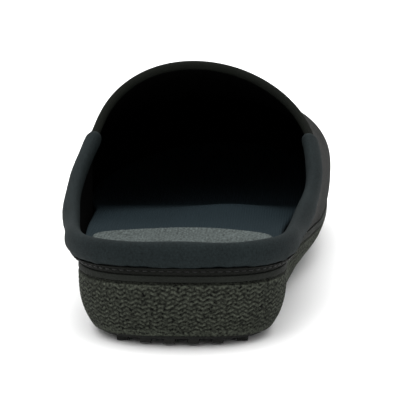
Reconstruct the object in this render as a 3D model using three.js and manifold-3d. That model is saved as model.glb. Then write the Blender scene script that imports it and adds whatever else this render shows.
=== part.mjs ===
// Left mule clog: a closed vamp and a padded heel rim on a thick foam sole.
// Millimetres, +Z up, toe towards +Y, medial side towards +X.
import * as THREE from "three";
import { mergeVertices } from "three/addons/utils/BufferGeometryUtils.js";
import Module from "manifold-3d";

const wasm = await Module();
wasm.setup();

// Driving sizes of the shoe
const LENGTH = 284; // heel rim to toe tip
const BALL_WIDTH = 106; // widest part of the upper
const UPPER_HEIGHT = 68; // top of the vamp at the throat, above the welt
const SOLE_HEIGHT = 26; // sole at the heel, floor to welt
const WALL = 2.4; // thickness of the upper
const GAP = 0.3; // clearance between pieces that touch

// Sole
const HEEL_LIFT = 3.0; // rise of the sole's rear edge off the floor
const ARCH_LIFT = 2.2;
const TOE_SPRING = 9.5;
const LUG_HEIGHT = 1.7;
const TREAD_SKIN = 1.0; // rubber above the lugs
const TREAD_RECESS = 2.0; // how far the tread stands in from the wall's foot
const LUG_WIDTH = 4.2;
const LUG_LENGTH = 10;
const LUG_PITCH_ACROSS = 9;
const LUG_PITCH_ALONG = 16;
const WELT_THICK = 2.2;
const WELT_LIP = 0.6; // how far sole and welt stand out past the upper's foot
const BACK_TUCK = 4.0; // how far the upper's foot sits in from its fullest part
const TOE_TUCK = 3.0;
const BACK_UNDERCUT = 4.0; // how far the wall's foot sits in from its top
const TOE_UNDERCUT = 8.0;

// Rim, binding and footbed
const RIM_THICK = 6.4;
const RIM_HEIGHT = 9.6;
const RIM_BULGE = 2.0; // how far the rim stands out past the upper
const RIM_END = 7; // length of a rim end's rounding
const BINDING_HEIGHT = 3.2;
const BINDING_COVER = 0.6; // how far the binding stands proud of either face
const BINDING_END = 2.5;
const FOOTBED_CLEARANCE = 1.0; // footbed to the upper's foot
const FOOTBED_FLARE = 0.25; // share of the upper's overhang that the footbed's edge follows
const PAD_THICK = 1.2;
const PAD_MARGIN = 2.6; // bare footbed around the heel pad
const PAD_LENGTH = 58;

// Rounding of the outline's two ends: reach as a share of the length, power of the superellipse
const HEEL_END = { reach: 0.14, power: 2.5 };
const TOE_END = { reach: 0.3, power: 2.4 };
const TOE_TOP = { reach: 0.17, power: 2.2 };
const PAD_FRONT = { reach: 0.5, power: 2 };
const PAD_BACK = { reach: 0.5, power: 2.3 };

// Sections of the last. at: share of the length. mid (centre line of the foot), half (fullest half
// width), foot (half width at the welt), sway and lean (how far the fullest part and the ridge stand
// off the centre line): shares of the ball width. belly (height of the fullest part) and ridge:
// shares of the upper's height, above the welt. thick and under (wall's foot inset): shares of the
// sole's height. curve: power of the wall's profile.
const LAST = [
  { at: 0, mid: -0.005, half: 0.405, foot: 0.36, sway: 0, lean: 0,
    belly: 0.197, ridge: 0.99, thick: 0.892, under: 0.19, curve: 3 },
  { at: 0.088, mid: -0.0075, half: 0.428, foot: 0.368, sway: 0, lean: 0,
    belly: 0.215, ridge: 1.01, thick: 0.946, under: 0.19, curve: 3 },
  { at: 0.158, mid: -0.011, half: 0.443, foot: 0.37, sway: 0.002, lean: 0,
    belly: 0.232, ridge: 1.03, thick: 0.9, under: 0.19, curve: 3 },
  { at: 0.246, mid: -0.011, half: 0.461, foot: 0.377, sway: 0.008, lean: -0.014,
    belly: 0.27, ridge: 1.05, thick: 0.833, under: 0.2, curve: 2.6 },
  { at: 0.335, mid: 0, half: 0.46, foot: 0.398, sway: 0.015, lean: -0.038,
    belly: 0.301, ridge: 1.07, thick: 0.706, under: 0.23, curve: 2.1 },
  { at: 0.415, mid: 0.009, half: 0.449, foot: 0.423, sway: 0.022, lean: -0.04,
    belly: 0.315, ridge: 1.05, thick: 0.652, under: 0.29, curve: 1.8 },
  { at: 0.465, mid: 0.011, half: 0.456, foot: 0.44, sway: 0.016, lean: -0.036,
    belly: 0.297, ridge: 0.996, thick: 0.662, under: 0.33, curve: 1.7 },
  { at: 0.528, mid: 0.011, half: 0.475, foot: 0.464, sway: 0.007, lean: -0.028,
    belly: 0.25, ridge: 0.904, thick: 0.662, under: 0.37, curve: 1.6 },
  { at: 0.634, mid: 0.005, half: 0.5, foot: 0.485, sway: 0.002, lean: -0.019,
    belly: 0.182, ridge: 0.749, thick: 0.646, under: 0.385, curve: 1.6 },
  { at: 0.739, mid: 0.012, half: 0.497, foot: 0.479, sway: 0, lean: 0,
    belly: 0.16, ridge: 0.62, thick: 0.673, under: 0.385, curve: 1.6 },
  { at: 0.845, mid: 0.037, half: 0.481, foot: 0.464, sway: 0, lean: 0.009,
    belly: 0.15, ridge: 0.51, thick: 0.669, under: 0.36, curve: 1.7 },
  { at: 0.933, mid: 0.06, half: 0.455, foot: 0.44, sway: 0, lean: 0.009,
    belly: 0.145, ridge: 0.43, thick: 0.638, under: 0.33, curve: 1.8 },
  { at: 1, mid: 0.07, half: 0.43, foot: 0.416, sway: 0, lean: 0.009,
    belly: 0.14, ridge: 0.38, thick: 0.596, under: 0.3, curve: 2 },
];

// Top edge of the upper. at: share of the length. rise: share of the upper's height, above the welt
const THROAT = 0.4736;
const NOTCH = 0.409; // where the rim ends and the vamp's binding starts
const TOPLINE = [
  { at: 0, rise: 0.043 },
  { at: 0.088, rise: 0.046 },
  { at: 0.169, rise: 0.074 },
  { at: 0.229, rise: 0.125 },
  { at: 0.282, rise: 0.206 },
  { at: 0.335, rise: 0.316 },
  { at: 0.38, rise: 0.438 },
  { at: 0.415, rise: 0.557 },
  { at: 0.44, rise: 0.688 },
  { at: 0.461, rise: 0.84 },
  { at: THROAT, rise: 0.985 },
];

// Top of the footbed. at: share of the length. crown (centre), cup (rise of the edges) and arch
// (rise on the medial side): shares of the sole's height, above the sole
const FOOTBED = [
  { at: 0, crown: 0.35, cup: 0.1, arch: 0 },
  { at: 0.15, crown: 0.35, cup: 0.09, arch: 0 },
  { at: 0.27, crown: 0.41, cup: 0.04, arch: 0.03 },
  { at: 0.37, crown: 0.46, cup: -0.02, arch: 0.1 },
  { at: 0.46, crown: 0.38, cup: 0, arch: 0.05 },
  { at: 0.57, crown: 0.25, cup: 0.02, arch: 0 },
  { at: 0.72, crown: 0.18, cup: 0.02, arch: 0 },
  { at: 1, crown: 0.14, cup: 0.02, arch: 0 },
];
const ARCH_CENTRE = 0.35; // of the half width, towards the medial side
const ARCH_SPREAD = 0.5;

// The arch's lift runs between these shares of the length, and the toe spring starts at the last
const HEEL_FLAT = 0.1;
const ARCH_START = 0.22;
const ARCH_STOP = 0.53;
const TOE_START = 0.72;
const TOE_POWER = 1.8;

// The upper's section: parameter 0 at the ridge, SPLIT at the fullest part, 1 at the welt
const SPLIT = 0.6;
const TURN_UNDER = THREE.MathUtils.degToRad(70);

// Numbers of facets
const SOLE_STATIONS = 44;
const TREAD_SAMPLES = 400;
const RIM_STATIONS = 12;
const ARCH_STATIONS = 12;
const VAMP_STATIONS = 22;
const UPPER_ROWS = [0, 0.12, 0.24, 0.36, 0.48, 0.6, 0.72, 0.85, 1];
const RIM_STEPS = 48;
const RIM_SIDES = 10;
const BINDING_SIDES = 8;

const TREAD = LUG_HEIGHT + TREAD_SKIN;
const SEAT = GAP + WELT_THICK + GAP; // from the sole's top to the upper's foot

const point = (x, y, z) => new THREE.Vector3(x, y, z);
const clamp = THREE.MathUtils.clamp;
const mix = THREE.MathUtils.lerp;
const steps = (count) => Array.from({ length: count + 1 }, (_, i) => i / count);
// shares from 0 to 1 that crowd together at both ends
const crowded = (count) => steps(count).map((t) => (1 - Math.cos(Math.PI * t)) / 2);
// shares of the length along the vamp's arched edge, crowded at the throat
const arched = (count) => steps(count).map((t) => mix(THROAT, NOTCH, (1 - t) ** 2));

// Smooth curve through one column of a table
function smooth(table, column, at) {
  const last = table.length - 1;
  let i = 0;
  while (i < last - 1 && at > table[i + 1].at) i += 1;
  const slope = (k) => {
    const a = table[Math.max(k - 1, 0)];
    const b = table[Math.min(k + 1, last)];
    return (b[column] - a[column]) / (b.at - a.at);
  };
  const span = table[i + 1].at - table[i].at;
  const t = (at - table[i].at) / span;
  const t2 = t * t;
  const t3 = t2 * t;
  return (
    (2 * t3 - 3 * t2 + 1) * table[i][column] +
    (t3 - 2 * t2 + t) * span * slope(i) +
    (3 * t2 - 2 * t3) * table[i + 1][column] +
    (t3 - t2) * span * slope(i + 1)
  );
}

// Superellipse that falls from 1 to 0 over the end's reach; away is the distance to that end
function rounding(end, away) {
  const t = clamp(1 - away / end.reach, 0, 1);
  return (1 - t ** end.power) ** (1 / end.power);
}
const ends = (at) => rounding(HEEL_END, at) * rounding(TOE_END, 1 - at);
const width = (column, at) => smooth(LAST, column, at) * BALL_WIDTH;

// Height of the sole's underside: rear bevel, arch and toe spring, with two flat spots between them
function ground(y) {
  const at = y / LENGTH;
  const heel = HEEL_LIFT * Math.max(0, 1 - at / HEEL_FLAT) ** 2;
  const waist = clamp((at - ARCH_START) / (ARCH_STOP - ARCH_START), 0, 1);
  const toe = Math.max(0, (at - TOE_START) / (1 - TOE_START));
  return heel + ARCH_LIFT * Math.sin(Math.PI * waist) ** 2 + TOE_SPRING * toe ** TOE_POWER;
}
const soleTop = (y) => ground(y) + smooth(LAST, "thick", y / LENGTH) * SOLE_HEIGHT;

// Heights of one section of the upper; inset moves to a face that lies inside the outer one
function heights(at, y, inset) {
  const foot = soleTop(y) + SEAT;
  const belly = foot + smooth(LAST, "belly", at) * UPPER_HEIGHT;
  const ridge = foot + smooth(LAST, "ridge", at) * UPPER_HEIGHT;
  const top = belly + (ridge - inset - belly) * rounding(TOE_TOP, 1 - at);
  return { foot, belly, ridge, top };
}

// Point of the upper: at along the shoe, around from ridge (0) to welt (1), side -1 or 1
function upperPoint(at, around, side, inset = 0) {
  const half = (width("half", at) - inset) * ends(at);
  const narrow = (width("foot", at) - inset) * ends(at);
  const over = clamp(around / SPLIT, 0, 1) * (Math.PI / 2);
  const under = clamp((around - SPLIT) / (1 - SPLIT), 0, 1) * TURN_UNDER;
  const tuck = (1 - Math.cos(under)) / (1 - Math.cos(TURN_UNDER));
  const back = inset + BACK_TUCK * tuck;
  const front = LENGTH - inset - TOE_TUCK * tuck;
  const y = mix(back, front, at);
  const { foot, belly, ridge, top } = heights(at, y, inset);
  const above = around < SPLIT;
  const out = above ? half * Math.sin(over) : mix(half, narrow, tuck);
  const z = above
    ? belly + (top - belly) * Math.cos(over)
    : belly - ((belly - foot) * Math.sin(under)) / Math.sin(TURN_UNDER);
  const lift = clamp((z - belly) / (ridge - belly), 0, 1);
  const centre = width("mid", at) + width("sway", at) * (1 - tuck) + width("lean", at) * lift ** 2;
  return point(centre + side * out, y, z);
}

// Where around its section the upper's top edge lies
function toplineAround(at) {
  if (at >= THROAT) return 0;
  const { foot, belly, top } = heights(at, at * LENGTH, 0);
  const z = foot + smooth(TOPLINE, "rise", at) * UPPER_HEIGHT;
  if (z > belly) return (Math.acos(clamp((z - belly) / (top - belly), 0, 1)) / (Math.PI / 2)) * SPLIT;
  const under = Math.asin((clamp((belly - z) / (belly - foot), 0, 1)) * Math.sin(TURN_UNDER));
  return SPLIT + (1 - SPLIT) * (under / TURN_UNDER);
}
const topline = (at, side, inset = 0) => upperPoint(at, toplineAround(at), side, inset);

// Outline of the sole at height w of its wall (0 foot, 1 top), drawn in by inset; across -1 to 1
function solePoint(at, across, w, inset = 0) {
  const drop = (1 - w) ** smooth(LAST, "curve", at);
  const under = smooth(LAST, "under", at) * SOLE_HEIGHT;
  const half = (width("foot", at) + WELT_LIP - inset - under * drop) * ends(at);
  const back = BACK_TUCK - WELT_LIP + inset + BACK_UNDERCUT * drop;
  const front = LENGTH - TOE_TUCK + WELT_LIP - inset - TOE_UNDERCUT * drop;
  return point(width("mid", at) + across * half, mix(back, front, at), 0);
}

// Triangles between neighbouring loops; joined(i) says whether loop i closes on itself
function skin(loops, turn = 1, joined = () => true) {
  const corners = [];
  for (let i = 0; i + 1 < loops.length; i += 1) {
    const count = loops[i].length;
    for (let k = 0; k < (joined(i) ? count : count - 1); k += 1) {
      const a = loops[i][k];
      const b = loops[i][(k + 1) % count];
      const c = loops[i + 1][(k + 1) % count];
      const d = loops[i + 1][k];
      corners.push(...(turn > 0 ? [a, b, c, a, c, d] : [a, c, b, a, d, c]));
    }
  }
  return corners;
}

// One closed geometry from triangle corners: shared vertices, no slivers, faces outward
function closed(corners) {
  const raw = new THREE.BufferGeometry().setFromPoints(corners);
  const merged = mergeVertices(raw, 1e-3);
  const index = [];
  for (let i = 0; i < merged.index.count; i += 3) {
    const [a, b, c] = [0, 1, 2].map((k) => merged.index.getX(i + k));
    if (a !== b && b !== c && c !== a) index.push([a, b, c]);
  }
  const at = (k) => new THREE.Vector3().fromBufferAttribute(merged.attributes.position, k);
  const volume = index.reduce((sum, [a, b, c]) => sum + at(a).dot(at(b).cross(at(c))), 0);
  merged.setIndex(index.flatMap(([a, b, c]) => (volume > 0 ? [a, b, c] : [a, c, b])));
  return merged;
}

// A layer with a top, an underside and a wall: body(at, across, w) gives its points
function slab(stations, columns, rows, body) {
  const loops = stations.map((at) => [
    ...steps(columns).map((t) => body(at, 2 * t - 1, 0)),
    ...steps(rows).slice(1, -1).map((w) => body(at, 1, w)),
    ...steps(columns).map((t) => body(at, 1 - 2 * t, 1)),
    ...steps(rows).slice(1, -1).map((w) => body(at, -1, 1 - w)),
  ]);
  return closed(skin(loops));
}

// A wall that runs round the shoe: loopAt(at, side) is its section on one side
function ringWall(stations, loopAt, joined) {
  return closed([-1, 1].flatMap((side) => skin(stations.map((at) => loopAt(at, side)), side, joined)));
}

// A rounded bead carried along the upper's top edge. places: [at, side] in order along it.
// Its section is thick by high, with its middle rise above the edge and shift outwards.
function bead(places, sides, turn, { thick, high, rise, shift, end }) {
  const outer = places.map(([at, side]) => topline(at, side));
  const inner = places.map(([at, side]) => topline(at, side, WALL));
  const path = new THREE.CatmullRomCurve3(outer);
  const lengths = outer.map((p, i) => (i ? p.distanceTo(outer[i - 1]) : 0));
  const run = lengths.map((_, i) => lengths.slice(0, i + 1).reduce((a, b) => a + b));
  const whole = run.at(-1);
  const loops = outer.map((p, i) => {
    const along = path.getTangent(i / (outer.length - 1));
    const away = p.clone().sub(inner[i]).normalize();
    const up = away.clone().cross(along).normalize().multiplyScalar(turn);
    const out = along.clone().cross(up).multiplyScalar(turn).normalize();
    const size = rounding({ reach: end, power: 2 }, Math.min(run[i], whole - run[i]));
    return steps(sides).slice(1).map((t) => {
      const angle = 2 * Math.PI * t;
      const x = shift + (size * thick * Math.cos(angle)) / 2;
      const z = rise + (size * high * Math.sin(angle)) / 2;
      return p.clone().addScaledVector(out, x).addScaledVector(up, z);
    });
  });
  return closed(skin(loops));
}

// Rubber tread under the sole: a thin skin with blocks joined to it, in files from heel to toe
function outsole() {
  const skinPoint = (at, across, w) => {
    const p = solePoint(at, across, 0, TREAD_RECESS);
    return p.setZ(ground(p.y) + LUG_HEIGHT + TREAD_SKIN * w);
  };
  const edges = crowded(TREAD_SAMPLES).map((at) => [skinPoint(at, -1, 0), skinPoint(at, 1, 0)]);
  const block = (x, y) => {
    const box = new THREE.BoxGeometry(LUG_WIDTH, LUG_LENGTH, LUG_HEIGHT);
    box.translate(x, y, 0);
    const corner = box.attributes.position;
    for (let i = 0; i < corner.count; i += 1) {
      const floor = ground(corner.getY(i));
      corner.setZ(i, floor + (corner.getZ(i) > 0 ? LUG_HEIGHT + TREAD_SKIN / 2 : 0));
    }
    return box;
  };
  let tread = toManifold(slab(crowded(SOLE_STATIONS), 2, 1, skinPoint));
  const files = Math.ceil(BALL_WIDTH / LUG_PITCH_ACROSS / 2);
  for (let file = -files; file < files; file += 1) {
    const x = (file + 0.5) * LUG_PITCH_ACROSS;
    const inside = edges.filter(([left, right]) => x - LUG_WIDTH / 2 > left.x && x + LUG_WIDTH / 2 < right.x);
    if (!inside.length) continue;
    const [rear] = inside[0];
    const [front] = inside.at(-1);
    for (let y = rear.y + LUG_LENGTH / 2; y + LUG_LENGTH / 2 < front.y; y += LUG_PITCH_ALONG) {
      const raised = y > ARCH_START * LENGTH && y < ARCH_STOP * LENGTH;
      if (!raised) tread = tread.add(toManifold(block(x, y)));
    }
  }
  return fromManifold(tread);
}

function toManifold(geometry) {
  const bare = geometry.clone();
  bare.deleteAttribute("normal");
  bare.deleteAttribute("uv");
  const merged = mergeVertices(bare, 1e-4);
  const vertProperties = new Float32Array(merged.attributes.position.array);
  const triVerts = new Uint32Array(merged.index.array);
  return new wasm.Manifold(new wasm.Mesh({ numProp: 3, vertProperties, triVerts }));
}

function fromManifold(manifold) {
  const mesh = manifold.getMesh();
  const geometry = new THREE.BufferGeometry();
  geometry.setAttribute("position", new THREE.BufferAttribute(mesh.vertProperties, 3));
  geometry.setIndex(new THREE.BufferAttribute(mesh.triVerts, 1));
  return geometry;
}

// Foam sole: its wall bellies out above the tread and is hollowed to an undercut at its foot
function midsole() {
  return slab(crowded(SOLE_STATIONS), 4, 6, (at, across, w) => {
    const p = solePoint(at, across, w);
    return p.setZ(mix(ground(p.y) + TREAD + GAP, soleTop(p.y), w));
  });
}

// Welt strip under the upper's foot
function welt() {
  const corner = (at, side, inset, w) => {
    const p = solePoint(at, side, 1, inset);
    return p.setZ(soleTop(p.y) + GAP + WELT_THICK * w);
  };
  return ringWall(crowded(SOLE_STATIONS), (at, side) => [
    corner(at, side, 0, 0),
    corner(at, side, 0, 1),
    corner(at, side, WELT_LIP + WALL, 1),
    corner(at, side, WELT_LIP + WALL, 0),
  ]);
}

// Upper: one hollow shell, open at the collar and underneath
function upper() {
  const stations = [
    ...steps(RIM_STATIONS).map((t) => NOTCH * (1 - Math.cos((t * Math.PI) / 2))),
    ...arched(ARCH_STATIONS).slice(1),
    ...steps(VAMP_STATIONS).slice(1).map((t) => mix(THROAT, 1, Math.sin((t * Math.PI) / 2))),
  ];
  const wallAt = (at, side) => {
    const edge = toplineAround(at);
    const rows = UPPER_ROWS.map((around) => Math.max(around, edge));
    return [
      ...rows.map((around) => upperPoint(at, around, side)),
      ...rows.reverse().map((around) => upperPoint(at, around, side, WALL)),
    ];
  };
  return ringWall(stations, wallAt, (i) => stations[i] < THROAT);
}

// Padded rim round the heel, from one notch to the other
function collarRim() {
  const places = steps(RIM_STEPS).map((t) => {
    const from = 2 * t - 1;
    return [(NOTCH * (1 - Math.cos(Math.PI * from))) / 2, from < 0 ? -1 : 1];
  });
  return bead(places, RIM_SIDES, 1, {
    thick: RIM_THICK,
    high: RIM_HEIGHT,
    rise: GAP + RIM_HEIGHT / 2,
    shift: RIM_BULGE - RIM_THICK / 2,
    end: RIM_END,
  });
}

// Binding over the vamp's arched edge
function vampBinding() {
  const climb = arched(ARCH_STATIONS);
  const places = [
    ...climb.map((at) => [at, -1]),
    ...climb.reverse().slice(1).map((at) => [at, 1]),
  ];
  return bead(places, BINDING_SIDES, -1, {
    thick: WALL + 2 * BINDING_COVER,
    high: BINDING_HEIGHT,
    rise: GAP + BINDING_HEIGHT / 2,
    shift: -WALL / 2,
    end: BINDING_END,
  });
}

const footbedInset = WELT_LIP + WALL + FOOTBED_CLEARANCE;
// how far the footbed's top edge stands out sideways past its foot, under the upper's overhang
const footbedFlare = (at) =>
  FOOTBED_FLARE * Math.max(0, width("half", at) - width("sway", at) - width("foot", at));

// Height of the footbed's top, cupped at the heel and raised under the arch
function footbedTop(x, y) {
  const at = y / LENGTH;
  const across = (x - width("mid", at)) / (width("foot", at) - footbedInset);
  const arch = Math.exp(-(((across - ARCH_CENTRE) / ARCH_SPREAD) ** 2));
  const rise =
    smooth(FOOTBED, "crown", at) +
    smooth(FOOTBED, "cup", at) * Math.abs(across) ** 3 +
    smooth(FOOTBED, "arch", at) * arch;
  return soleTop(y) + rise * SOLE_HEIGHT;
}

function footbed() {
  return slab(crowded(SOLE_STATIONS - 8), 8, 2, (at, across, w) => {
    const p = solePoint(at, across, 1, footbedInset);
    p.x += across * footbedFlare(at) * ends(at) * w;
    return p.setZ(mix(soleTop(p.y) + GAP, footbedTop(p.x, p.y), w));
  });
}

// Grey pad laid on the footbed's heel
function heelPad() {
  const reach = PAD_LENGTH / LENGTH;
  return slab(crowded(16), 6, 1, (t, across, w) => {
    const at = PAD_MARGIN / LENGTH + t * reach;
    const p = solePoint(at, 0, 1, footbedInset);
    const half = width("foot", at) - footbedInset + footbedFlare(at) - PAD_MARGIN;
    p.x += across * half * rounding(PAD_FRONT, 1 - t) * rounding(PAD_BACK, t);
    return p.setZ(footbedTop(p.x, p.y) + GAP + PAD_THICK * w);
  });
}

// Name, shape, colour, roughness
const PIECES = [
  ["outsole", outsole, 0x1d1f1c, 0.85],
  ["midsole", midsole, 0x2c2e29, 0.9],
  ["welt", welt, 0x20221f, 0.8],
  ["upper", upper, 0x141513, 0.8],
  ["collar_rim", collarRim, 0x2a3133, 0.95],
  ["vamp_binding", vampBinding, 0x1a1b18, 0.8],
  ["footbed", footbed, 0x2a3538, 0.9],
  ["heel_pad", heelPad, 0x626a64, 0.9],
];

const shoe = new THREE.Group();
for (const [name, shape, color, roughness] of PIECES) {
  const material = new THREE.MeshStandardMaterial({ color, roughness, metalness: 0 });
  const mesh = new THREE.Mesh(shape(), material);
  mesh.name = name;
  shoe.add(mesh);
}

// The origin is on the floor, under the middle of the shoe
const box = new THREE.Box3().setFromObject(shoe);
const centre = box.getCenter(new THREE.Vector3());
shoe.position.set(-centre.x, -centre.y, -box.min.z);

export default shoe;
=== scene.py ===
"""Looks of a left mule clog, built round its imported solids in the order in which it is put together.

Sizes are shoe millimetres, with the toe towards +Y and the medial side towards +X, and to_frame
turns them into the frame's metres.
"""

import bmesh
import bpy
import numpy as np
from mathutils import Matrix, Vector


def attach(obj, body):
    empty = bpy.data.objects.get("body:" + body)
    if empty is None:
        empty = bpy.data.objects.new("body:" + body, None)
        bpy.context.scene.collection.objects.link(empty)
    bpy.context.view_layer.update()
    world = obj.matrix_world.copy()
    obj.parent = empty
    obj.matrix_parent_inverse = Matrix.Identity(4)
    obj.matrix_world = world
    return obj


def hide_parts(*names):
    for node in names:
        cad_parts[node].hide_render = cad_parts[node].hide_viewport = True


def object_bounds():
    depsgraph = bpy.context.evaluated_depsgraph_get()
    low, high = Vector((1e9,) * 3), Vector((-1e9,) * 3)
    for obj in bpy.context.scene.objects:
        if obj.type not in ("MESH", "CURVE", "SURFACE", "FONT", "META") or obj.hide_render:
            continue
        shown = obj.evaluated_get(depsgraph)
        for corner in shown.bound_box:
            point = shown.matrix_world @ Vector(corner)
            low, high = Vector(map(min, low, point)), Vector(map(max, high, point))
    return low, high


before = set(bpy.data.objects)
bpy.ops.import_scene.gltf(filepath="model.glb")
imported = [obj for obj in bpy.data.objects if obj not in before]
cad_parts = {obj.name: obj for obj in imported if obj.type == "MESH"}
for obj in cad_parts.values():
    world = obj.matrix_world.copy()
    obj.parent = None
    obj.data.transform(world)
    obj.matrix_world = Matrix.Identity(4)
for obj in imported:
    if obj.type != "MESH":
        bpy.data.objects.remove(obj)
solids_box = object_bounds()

# Camera: it stands behind the heel, a little above it and to the medial side, and looks just below
# the middle of the shoe through a long lens.
CAMERA_PLACE = Vector((0.0625, -1.3053, 0.2996))
CAMERA_LENS = 292.0
AIM_BELOW = Vector((0, 0, 0.0155))

camera = bpy.data.objects.new("camera", bpy.data.cameras.new("camera"))
camera.data.lens = CAMERA_LENS
camera.data.clip_start = 0.05
middle = (solids_box[0] + solids_box[1]) / 2
camera.location = CAMERA_PLACE
camera.rotation_euler = (middle - AIM_BELOW - CAMERA_PLACE).to_track_quat("-Z", "Y").to_euler()
bpy.context.scene.collection.objects.link(camera)
bpy.context.scene.camera = camera

# Studio: a plain white floor under a white sky, a very wide soft light high over the toe, so that
# the vamp shades the inside of the shoe, and a weak one behind the heel.
FLOOR_REACH = 6.0
SKY_STRENGTH = 0.85
SOFT_LIGHTS = {
    "over_toe": {"from": (-0.05, 0.3, 1.0), "spread": 75.0, "strength": 3.6},
    "behind_heel": {"from": (-0.5, -1.0, 1.0), "spread": 30.0, "strength": 0.5},
}


def linear(red, green, blue):
    """Scene colour of an 8-bit screen colour: each share c is ((c + 0.055) / 1.055)^2.4."""
    shares = np.array([red, green, blue]) / 255
    low = shares / 12.92
    high = ((shares + 0.055) / 1.055) ** 2.4
    return (*np.where(shares <= 0.04045, low, high).tolist(), 1.0)


def principled(name, colour, roughness, specular=0.2):
    """A node material with the plain values of its Principled shader set."""
    material = bpy.data.materials.new(name)
    material.use_nodes = True
    material.diffuse_color = colour
    shader = material.node_tree.nodes["Principled BSDF"]
    shader.inputs["Base Color"].default_value = colour
    shader.inputs["Roughness"].default_value = roughness
    shader.inputs["Specular IOR Level"].default_value = specular
    return material, shader


corners = [(-FLOOR_REACH, -FLOOR_REACH, 0), (FLOOR_REACH, -FLOOR_REACH, 0)]
corners += [(FLOOR_REACH, FLOOR_REACH, 0), (-FLOOR_REACH, FLOOR_REACH, 0)]
floor_mesh = bpy.data.meshes.new("floor")
floor_mesh.from_pydata(corners, [], [(0, 1, 2, 3)])
floor_paint, _ = principled("floor_paint", (0.93, 0.93, 0.93, 1.0), 0.9)
floor_mesh.materials.append(floor_paint)
floor = bpy.data.objects.new("floor", floor_mesh)
bpy.context.scene.collection.objects.link(floor)

for light_name, setting in SOFT_LIGHTS.items():
    lamp = bpy.data.lights.new(light_name, "SUN")
    lamp.angle = np.radians(setting["spread"])
    lamp.energy = setting["strength"]
    light = bpy.data.objects.new(light_name, lamp)
    light.rotation_euler = Vector(setting["from"]).to_track_quat("Z", "Y").to_euler()
    bpy.context.scene.collection.objects.link(light)

sky = bpy.data.worlds.new("sky")
sky.use_nodes = True
sky.node_tree.nodes["Background"].inputs["Color"].default_value = (1, 1, 1, 1)
sky.node_tree.nodes["Background"].inputs["Strength"].default_value = SKY_STRENGTH
bpy.context.scene.world = sky
bpy.context.scene.view_settings.view_transform = "Standard"

# Tread: moulded black rubber under the foam sole, a thin skin with blocks in files from heel to
# toe. It is bonded to the foam, a little in from the foot of its wall.
LENGTH = 284.0
BALL_WIDTH = 106.0
UPPER_HEIGHT = 68.0
SOLE_HEIGHT = 26.0
WALL = 2.4
GAP = 0.3
HEEL_LIFT, ARCH_LIFT, TOE_SPRING = 3.0, 2.2, 9.5
HEEL_FLAT, ARCH_START, ARCH_STOP, TOE_START, TOE_POWER = 0.1, 0.22, 0.53, 0.72, 1.8
LUG_HEIGHT, TREAD_SKIN = 1.7, 1.0
WELT_THICK, WELT_LIP = 2.2, 0.6
BACK_TUCK, TOE_TUCK = 4.0, 3.0
BACK_UNDERCUT, TOE_UNDERCUT = 4.0, 8.0
HEEL_END, TOE_END, TOE_TOP = (0.14, 2.5), (0.3, 2.4), (0.17, 2.2)
SPLIT, TURN_UNDER = 0.6, np.radians(70)

# Sections of the last. mid, half, foot, sway and lean are shares of the ball width, belly and
# ridge of the upper's height above the welt, thick and under of the sole's height.
SECTION_AT = (0, 0.088, 0.158, 0.246, 0.335, 0.415, 0.465, 0.528, 0.634, 0.739, 0.845, 0.933, 1)
LAST = {
    "mid": (-0.005, -0.0075, -0.011, -0.011, 0, 0.009, 0.011, 0.011, 0.005, 0.012, 0.037, 0.06, 0.07),
    "half": (0.405, 0.428, 0.443, 0.461, 0.46, 0.449, 0.456, 0.475, 0.5, 0.497, 0.481, 0.455, 0.43),
    "foot": (0.36, 0.368, 0.37, 0.377, 0.398, 0.423, 0.44, 0.464, 0.485, 0.479, 0.464, 0.44, 0.416),
    "sway": (0, 0, 0.002, 0.008, 0.015, 0.022, 0.016, 0.007, 0.002, 0, 0, 0, 0),
    "lean": (0, 0, 0, -0.014, -0.038, -0.04, -0.036, -0.028, -0.019, 0, 0.009, 0.009, 0.009),
    "belly": (0.197, 0.215, 0.232, 0.27, 0.301, 0.315, 0.297, 0.25, 0.182, 0.16, 0.15, 0.145, 0.14),
    "ridge": (0.99, 1.01, 1.03, 1.05, 1.07, 1.05, 0.996, 0.904, 0.749, 0.62, 0.51, 0.43, 0.38),
    "thick": (0.892, 0.946, 0.9, 0.833, 0.706, 0.652, 0.662, 0.662, 0.646, 0.673, 0.669, 0.638, 0.596),
    "under": (0.19, 0.19, 0.19, 0.2, 0.23, 0.29, 0.33, 0.37, 0.385, 0.385, 0.36, 0.33, 0.3),
    "curve": (3, 3, 3, 2.6, 2.1, 1.8, 1.7, 1.6, 1.6, 1.6, 1.7, 1.8, 2),
}
RUBBER_BLACK = linear(26, 27, 25)


def mix(a, b, share):
    """Straight blend from a at share 0 to b at share 1."""
    return a + (b - a) * share


def smooth(stations, values, at):
    """Cubic Hermite curve through (stations, values): central slopes, one-sided at both ends."""
    x, y, at = np.asarray(stations, float), np.asarray(values, float), np.asarray(at, float)
    slopes = np.empty_like(y)
    slopes[1:-1] = (y[2:] - y[:-2]) / (x[2:] - x[:-2])
    slopes[0] = (y[1] - y[0]) / (x[1] - x[0])
    slopes[-1] = (y[-1] - y[-2]) / (x[-1] - x[-2])
    i = np.clip(np.searchsorted(x, at, side="right") - 1, 0, len(x) - 2)
    span = x[i + 1] - x[i]
    t = (at - x[i]) / span
    start = (2 * t**3 - 3 * t**2 + 1) * y[i] + (t**3 - 2 * t**2 + t) * span * slopes[i]
    return start + (3 * t**2 - 2 * t**3) * y[i + 1] + (t**3 - t**2) * span * slopes[i + 1]


def last(column, at):
    """Value of one column of the last's sections at a share of the length."""
    return smooth(SECTION_AT, LAST[column], at)


def rounding(end, away):
    """Superellipse that falls from 1 to 0 over the end's reach: (1 - (1 - away/reach)^p)^(1/p)."""
    reach, power = end
    t = np.clip(1 - np.asarray(away, float) / reach, 0, 1)
    return (1 - t**power) ** (1 / power)


def ends(at):
    """Share of the full width that is left at a station: both ends' roundings multiplied."""
    return rounding(HEEL_END, at) * rounding(TOE_END, 1 - at)


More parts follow.
